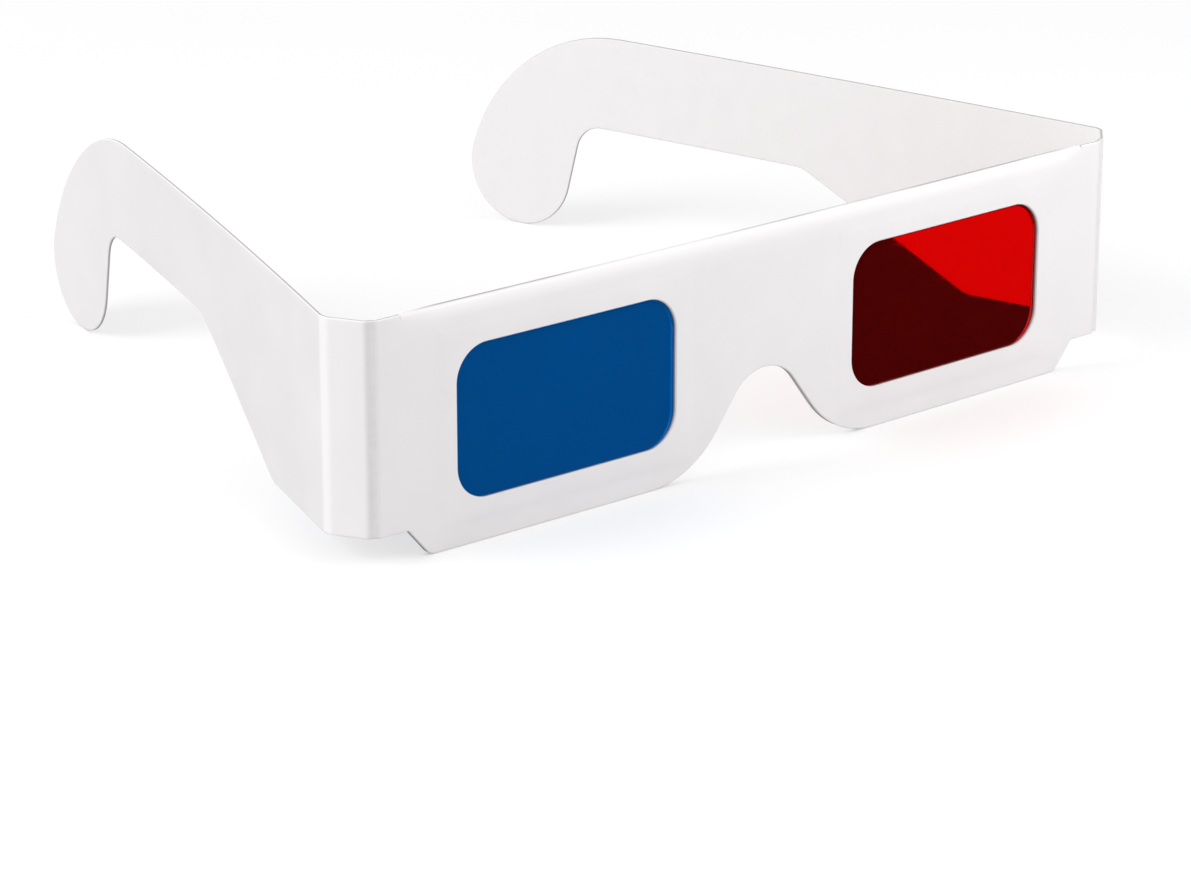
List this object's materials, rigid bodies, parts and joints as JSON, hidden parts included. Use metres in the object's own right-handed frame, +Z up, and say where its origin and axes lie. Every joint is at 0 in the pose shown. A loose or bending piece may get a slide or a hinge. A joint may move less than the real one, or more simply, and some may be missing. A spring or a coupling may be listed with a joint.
{
  "type": "anaglyph glasses",
  "caption": "Folding white card glasses with a red and a blue film between two plies, creased corner strips and hooked temples, for viewing anaglyph pictures.",
  "frame": {"origin": "middle of the nose bridge, on the outer face of the front panel", "axes": "+X to the wearer's left, +Y from the front towards the wearer, +Z up"},
  "size_m": [0.1586, 0.1334, 0.0373],
  "materials": {
    "card": "coated white board, satin",
    "red_film": "clear dyed film, gloss",
    "blue_film": "clear dyed film, gloss",
    "glue": "dried adhesive"
  },
  "bodies": {
    "front": {"front_panel": "card", "back_panel": "card", "red_film": "red_film", "blue_film": "blue_film", "panel_glue": "glue"},
    "left_strip": {"left_strip": "card"},
    "right_strip": {"right_strip": "card"},
    "left_temple": {"left_temple": "card"},
    "right_temple": {"right_temple": "card"}
  },
  "joints": [
    {"name": "left_inner_crease", "type": "hinge", "parent": "front", "child": "left_strip", "pos_m": [0.0745, 0.0005, -0.00515], "axis": [0, 0, 1], "range_deg": [-44, 46]},
    {"name": "left_outer_crease", "type": "hinge", "parent": "left_strip", "child": "left_temple", "pos_m": [0.07961, 0.00543, -0.00515], "axis": [0, 0, 1], "range_deg": [-58.5, 31.5]},
    {"name": "right_inner_crease", "type": "hinge", "parent": "front", "child": "right_strip", "pos_m": [-0.0745, 0.0005, -0.00515], "axis": [0, 0, -1], "range_deg": [-60, 30]},
    {"name": "right_outer_crease", "type": "hinge", "parent": "right_strip", "child": "right_temple", "pos_m": [-0.07805, 0.00665, -0.00515], "axis": [0, 0, -1], "range_deg": [-47.5, 38.5]}
  ]
}
